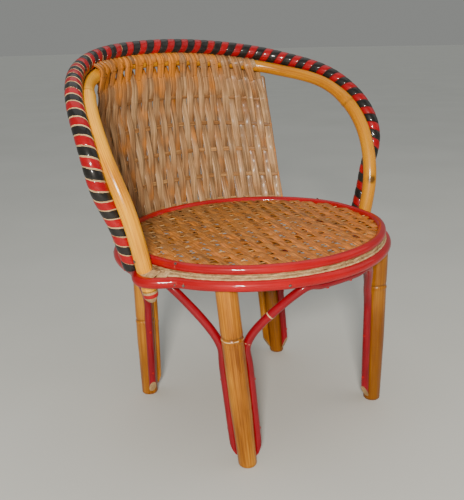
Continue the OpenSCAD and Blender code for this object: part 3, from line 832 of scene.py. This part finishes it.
def make_wrap(phase, name, slot, material, node):
    """One strip of the wrapping, wound round the rail half a pitch from the other."""
    s = lengths(rail_path)
    t = tangents(rail_path)
    u = carried(t, (1, 0, 0))
    v = np.cross(t, u)
    pitch = s[-1] / WRAP_TURNS
    half = pitch / 4 - 0.08
    per_turn = 36
    count = int((WRAP_TURNS - 0.75) * per_turn)
    # Each strip starts at the rail's foot, where its first part is cut off level.
    k = np.arange(-per_turn // 2 * (1 + phase), count + 1)
    d = pitch * (0.3 + phase / 2 + k / per_turn)
    a = -2 * math.pi * k / per_turn
    d = d + 0.25 * noise_1d(d / pitch, 9, 5)
    # Across the strip: a crowned face that turns down at both edges, then flat underneath
    face = np.array([-1, -0.95, -0.86, -0.7, -0.35, 0, 0.35, 0.7, 0.86, 0.95, 1])
    across = np.concatenate([face, [0.9, -0.9]])
    crown = WRAP_T + 0.25 - 0.35 * np.abs(face) ** 6 + 0.15 * np.cos(face * 1.5)
    lift = np.concatenate([crown, [0.0, 0.0]])
    where = np.maximum(d[:, None] + half * across[None], 0.3 * (1 + across[None]))
    radius = RAIL_T / 2 + 0.25 + lift[None] + 0.05 * noise_1d(k / per_turn, 3, 8)[:, None]
    centre = at_length(rail_path, s, where)
    side, other = unit(at_length(u, s, where)), unit(at_length(v, s, where))
    co = centre + radius[..., None] * (np.cos(a)[:, None, None] * side + np.sin(a)[:, None, None] * other)
    run = a * RAIL_T / 2
    along = np.stack([half * across[None] + 0 * where, lift[None] + 0 * where, run[:, None] + 0 * where], -1)
    # The pale skin shows along the strips' edges low on the left. Towards the right the edges are darkened
    # instead, painted shade in the grooves between the strips.
    edge = clamp((np.abs(across) - 0.78) / 0.12)[None]
    part = d / s[-1]
    bare = 0.82 - 0.5 * ease((part - 0.1) / 0.45) - 0.25 * ease((0.06 - part) / 0.06)
    wear = edge * clamp(bare + 0.2 * noise_1d(k / per_turn, 2.3, 9 + phase))[:, None]
    dirt = edge * (0.6 * ease((part - 0.25) / 0.3))[:, None]
    shape = Shape()
    shape.grid(co[:, ::-1], along[:, ::-1], caps=True, wear=wear[:, ::-1], dirt=dirt[:, ::-1])
    shape.piece(name, slot, [material], node)


# ---------------------------------------------------------------- back
# The panel spans BACK_HALF along the hoop and BACK_F degrees round the seat, to each side of its middle.
# Its middle lies BACK_ASIDE to the left at the hoop and BACK_TURN degrees round at the seat.
BACK_HALF = 134.5
BACK_F = 51.0
BACK_ASIDE = 5.0
BACK_TURN = 1.8
BACK_Z = LOWER_Z + TRIM_T / 2 + 0.4
BACK_E = TRIM_T / 2 + STRAND_T / 2 + WAVE_A + 0.1
# The ribs' heights, as parts of the panel's
RIB_AT = [0.06, 0.23, 0.41, 0.59, 0.77]
# How far the loops over the hoop slant sideways, and how far a back strand swings to each side of the ribs
LOOP_LEAN = 8.0
BACK_WAVE = 1.9
# Across the panel, which is 2 wide, the strands start at FIRST_STRAND and span STRAND_SPAN.
FIRST_STRAND = -0.91
STRAND_SPAN = 1.865
STRAND_GAP = STRAND_SPAN / (BACK_N - 1)


def hoop_at(u):
    return at_length(arm_path, arm_s, np.array([ARM_LENGTH / 2 - BACK_ASIDE + u * BACK_HALF]))[0]


def foot_at(u):
    return np.array([*oval(90 + BACK_TURN - u * BACK_F, BACK_E), BACK_Z])


def upright(u):
    """The upright at u, -1 to 1 across the back: its foot, its way across, up and forward, its height, and the
    radius of the turn over the hoop.
    """
    a, b = foot_at(u), hoop_at(u)
    up = unit(b - a)
    hoop_way, foot_way = hoop_at(u + 0.02) - hoop_at(u - 0.02), foot_at(u + 0.02) - foot_at(u - 0.02)
    across = square_to(unit(hoop_way) + unit(foot_way), up)
    out = -np.cross(up, across)
    r = HOOP_T / 2 + STRAND_T / 2 + 0.2
    h = np.linalg.norm(b - a)
    # The upright is tangent to the hoop's back, so it leans a little more than the line from a to b.
    k = math.asin(r / h)
    leaning, away = math.cos(k) * up - math.sin(k) * out, math.cos(k) * out + math.sin(k) * up
    return a, across, leaning, away, h * math.cos(k), r


def forward(long, h, r):
    """How far the panel bends forward near its top, to meet the hoop in the middle."""
    return 1.05 * r * ease((long - h + 58) / 40)


def rib_point(u, t):
    a, across, up, away, h, r = upright(u)
    return a + up * h * t + away * forward(t * h, h, r)


def make_back_ribs():
    shape = Shape()
    for row, t in enumerate(RIB_AT):
        path = np.array([rib_point(u, t) for u in np.linspace(-0.99, 0.99, 81)])
        width = np.full(81, 5.2)
        width[:2] -= 1.5
        width[-2:] -= 1.5
        strip(shape, path, upright(0)[2], width, 1.3, offset=500 * row, tone=0.6 - 0.3 * t)
    shape.piece("back_rib_canes", "weave", [RIB_WEAVE], "back_ribs")


def rib_phase(t):
    """Counts the ribs up the panel, with places between them."""
    return np.interp(t, [0, *RIB_AT, 1], [-0.4, 0, 1, 2, 3, 4, 5.2])


def strand_u(i):
    return FIRST_STRAND + STRAND_SPAN * i / (BACK_N - 1)


def strand_route(i, over):
    """Strand i as rows of height, way forward, way to the side, and bulge, which is 1 in front of a rib.

    A strand that is over the hoop passes up its front, over its top and down behind. Any other passes up
    behind it, over its top and down its front, where its cut end is pressed in under its neighbours.
    """
    h, r = upright(strand_u(i))[4:]
    left = clamp(-strand_u(i))
    # Angles round the hoop, in degrees: 0 is its top and 90 its front.
    turns = np.arange(125, -75, -7) if over else np.arange(-165, 104, 7)
    rise = np.arange(0, h - (18 if over else 16), 1.5)
    swing = np.cos(math.pi * (rib_phase(rise / h) + i))
    swing = np.sign(swing) * np.abs(swing) ** 1.3
    fade = np.where(rise < RIB_AT[-1] * h, 1, ease((h - 30 - rise) / 20))
    press = r * (1 - (0 if over else 0.22) * ease((turns - 60) / 50))
    # The loops slant to the left as they go round the hoop.
    lean = 0.45 + 0.55 * clamp((125 - turns) / 125)
    if not over:
        lean = np.where(turns < 0, 0.28 + 0.72 * (turns + 165) / 165, lean)
    long = np.concatenate([rise, h + press * np.cos(np.radians(turns))])
    wave = BACK_WAVE * (1 - 0.35 * left)
    deep = np.concatenate([forward(rise, h, r) - wave * fade * swing, r + press * np.sin(np.radians(turns))])
    shift = -LOOP_LEAN * (1 + 0.4 * left) * np.concatenate([0.45 * clamp((rise - h + 34) / 29), lean])
    shift = shift + 0.35 * noise_1d(long, 110, 300 + i)
    bulge = np.append(-fade * swing, np.zeros(len(turns)))
    return smooth(np.stack([long, deep, shift, bulge], -1), 2)


# Painted shade round a strand's section: dark along its edges, where the strands meet, and none on its face and
# back
STRAND_EDGE_SHADE = np.array([0.85, 0.3, 0, 0, 0, 0, 0.3, 0.85, 0.3, 0, 0, 0, 0, 0.3])


def make_back_strands(first, name, node):
    """Every second upright strand. The first set goes up in front of the arm hoop, the second set behind it."""
    shape = Shape()
    for i in range(first, BACK_N, 2):
        draws = random.Random(200 + i)
        u = strand_u(i)
        a, across, up, away, h, r = upright(u)
        over = first == 0
        long, deep, shift, bulge = strand_route(i, over).T
        path = a + up * long[:, None] + away * deep[:, None] + across * shift[:, None]
        height = clamp(long / h)
        low_pitch = np.linalg.norm(foot_at(u + STRAND_GAP / 2) - foot_at(u - STRAND_GAP / 2))
        top_pitch = np.linalg.norm(hoop_at(u + STRAND_GAP / 2) - hoop_at(u - STRAND_GAP / 2))
        width = (low_pitch + (top_pitch - low_pitch) * height) * (1.13 + 0.2 * clamp(-u + 0.1))
        width = width + draws.uniform(-0.35, 0.25)
        # The first set spreads out where it crosses the hoop.
        width = width + (1.3 if over else 0) * ease((long - h + 16) / 10)
        # Warmer towards the top left, partly the cane's own colour and partly painted light; paler where a
        # strand bulges forward, a painted highlight; and darker where it dips behind a rib and along its edges,
        # painted shade
        warm = clamp(1.5 - 1.4 * (u + 1) / 2) * (0.3 * height + 0.75 * ease((height - 0.84) / 0.1))
        tone = draws.gauss(0.6, 0.13) - 0.5 * warm + 0.16 * clamp(bulge) + 0.12 * noise_1d(long, 60, 800 + i)
        dirt = np.maximum(0.32 * clamp(-bulge)[:, None], STRAND_EDGE_SHADE[None])
        strip(shape, path, across, width, 3.2 + 0.6 * float(clamp(-u)), offset=350 * i, points=len(STRAND_EDGE_SHADE),
              roll=0.12 * noise_1d(long, 60, 400 + i), tone=clamp(tone, 0, 1.1)[:, None], dirt=dirt)
    shape.piece(name, "weave", [BACK_WEAVE], node)


def make_stake(side, name, node, slot, material):
    """Flat stake with a rounded top at one edge of the back."""
    a, across, up, away, h, r = upright(side * 0.985)
    top = h - 14 + STRAND_W / 2
    shoulder, round_r = top - STRAND_W / 2, STRAND_W / 2
    z = np.concatenate([np.linspace(0, shoulder, 60), top - round_r * (1 - np.sin(np.linspace(0.1, 1.45, 10)))])
    rounded = STRAND_W * np.sqrt(clamp(1 - ((z - top + round_r) / round_r) ** 2, 0.02))
    width = np.where(z > shoulder, rounded, STRAND_W)
    sway = 0.3 * noise_1d(z, 90, 7)
    path = a + up * z[:, None] + away * (-RIB_T / 2 - 1.5) - across * side + across * sway[:, None]
    bound = sum(hump(z / h, t, 0.012) for t in RIB_AT)
    tone = (0.8 if side < 0 else 0.5) - 0.35 * bound
    shape = Shape()
    strip(shape, path, across, width, 2.6, tone=tone[:, None])
    shape.piece(name, slot, [material], node)


# ---------------------------------------------------------------- all the pieces
for leg in range(4):
    make_leg(leg)

FRONT_LEFT, FRONT_RIGHT, BACK_LEFT, BACK_RIGHT = range(4)
SIDE_ES = [-3, -8.5, -9, -8, -4]
END_ES = [0, -2, -3, -2, 0]
make_brace("brace_front", "red_cane", SHADED_BRACE_RED, FRONT_LEFT, (1, -0.1), FRONT_RIGHT, (-1, -0.1),
           [253, 261, 270, 279, 287], END_ES, chips=((0.325, 0.95), (0.25, 0.6)))
make_brace("brace_left", "red_cane", SHADED_BRACE_RED, FRONT_LEFT, (-0.35, 1), BACK_LEFT, (-0.25, -1),
           [200, 192, 181, 169, 160], SIDE_ES, chips=((0.7, 0.6),))
make_brace("brace_right", "red_cane", SHADED_BRACE_RED, FRONT_RIGHT, (0.3, 1), BACK_RIGHT, (0.35, -1),
           [-20, -12, -2, 11, 20], SIDE_ES)
make_brace("brace_back", "cane", LEG_CANE, BACK_RIGHT, (-1, 0.2), BACK_LEFT, (1, 0.2),
           [73, 81, 90, 99, 107], END_ES)

# The directions of the nails round the seat
TOP_NAILS = [20, 60, 90, 120, 160, 205]
LOW_NAILS = [30, 75, 112, 150, 206, 210, 247, 335]
make_trim("seat_top_trim", top_e, SEAT_H - 0.2, 1, TOP_NAILS, TRIM_T - 0.5)
make_trim("seat_lower_trim", low_e, LOWER_Z + 0.4, 2, LOW_NAILS, TRIM_T + 0.8)
make_edge_band()
make_seat_ribs()
make_seat_strands(0, "seat_strands_first_set", "seat_strands_odd")
make_seat_strands(1, "seat_strands_second_set", "seat_strands_even")
make_arm_hoop()
make_wrap(0, "rail_strip_red", "red_strip", RED_STRIP, "rail_wrap_red")
make_wrap(1, "rail_strip_black", "black_strip", BLACK_STRIP, "rail_wrap_black")
make_back_ribs()
make_back_strands(0, "back_strands_first_set", "back_strands_odd")
make_back_strands(1, "back_strands_second_set", "back_strands_even")
make_stake(-1, "back_stake_left_flat", "back_stake_left", "cut_cane", CUT)
make_stake(1, "back_stake_right_flat", "back_stake_right", "cut_cane", BACK_WEAVE)

# Nodes of the frame that need no more shape, only a material
KEPT = {
    "seat_frame_hoop": HIDDEN_CANE, "seat_cross_bars": HIDDEN_CANE, "top_rail": HIDDEN_CANE,
    "trim_nails": STEEL, "brace_nails": NAIL_PAINT, "hoop_nails": STEEL, "back_nails": STEEL,
}
for node, material in KEPT.items():
    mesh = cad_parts[node].data
    for k in range(len(mesh.materials)):
        mesh.materials[k] = material


# ---------------------------------------------------------------- floor, light and camera
def area_light(name, at, towards, size, power, colour):
    light = bpy.data.lights.new(name, "AREA")
    light.size = size
    light.energy = power
    light.color = colour
    ob = bpy.data.objects.new(name, light)
    ob.location = at
    ob.rotation_mode = "QUATERNION"
    ob.rotation_quaternion = (Vector(towards) - Vector(at)).to_track_quat("-Z", "Y")
    bpy.context.scene.collection.objects.link(ob)


FLOOR = 40
floor_mesh = bpy.data.meshes.new("floor")
floor_corners = [(-FLOOR, -FLOOR, 0), (FLOOR, -FLOOR, 0), (FLOOR, FLOOR, 0), (-FLOOR, FLOOR, 0)]
floor_mesh.from_pydata(floor_corners, [], [(0, 1, 2, 3)])
floor_mesh.materials.append(floor_material())
floor = bpy.data.objects.new("floor", floor_mesh)
bpy.context.scene.collection.objects.link(floor)

world = bpy.data.worlds.new("studio")
world.use_nodes = True
sky = world.node_tree.nodes["Background"]
sky.inputs["Color"].default_value = (0.5, 0.51, 0.49, 1)
sky.inputs["Strength"].default_value = 0.5
bpy.context.scene.world = world

AIM = (0.0, 0.0, 0.2)
area_light("key", (-0.98, -1.14, 0.8), AIM, 0.2, 36, (1.0, 0.93, 0.83))
area_light("fill", (1.3, -0.9, 1.3), AIM, 1.4, 4, (1.0, 0.97, 0.92))
# A wide, weak sun fills in from above, as a studio's ceiling does.
overhead = bpy.data.objects.new("overhead", bpy.data.lights.new("overhead", "SUN"))
overhead.data.energy = 0.8
overhead.data.angle = 1.2
overhead.rotation_euler = (math.radians(-14), math.radians(8), 0)
bpy.context.scene.collection.objects.link(overhead)

camera_data = bpy.data.cameras.new("camera")
camera_data.lens = 46.8
camera_data.sensor_width = 36
camera_data.clip_start = 0.01
camera = bpy.data.objects.new("camera", camera_data)
CAMERA_AT = (-0.4511, -0.5641, 0.4106)
TURN, LIFT, ROLL = math.radians(-37.18), math.radians(17.59), math.radians(-1.34)
back_way = Vector((math.sin(TURN) * math.cos(LIFT), -math.cos(TURN) * math.cos(LIFT), math.sin(LIFT)))
level = Vector((math.cos(TURN), math.sin(TURN), 0))
upward = back_way.cross(level)
right_way = level * math.cos(ROLL) + upward * math.sin(ROLL)
up_way = upward * math.cos(ROLL) - level * math.sin(ROLL)
facing = Matrix((right_way, up_way, back_way)).transposed().to_4x4()
camera.matrix_world = Matrix.Translation(CAMERA_AT) @ facing
bpy.context.scene.collection.objects.link(camera)
bpy.context.scene.camera = camera
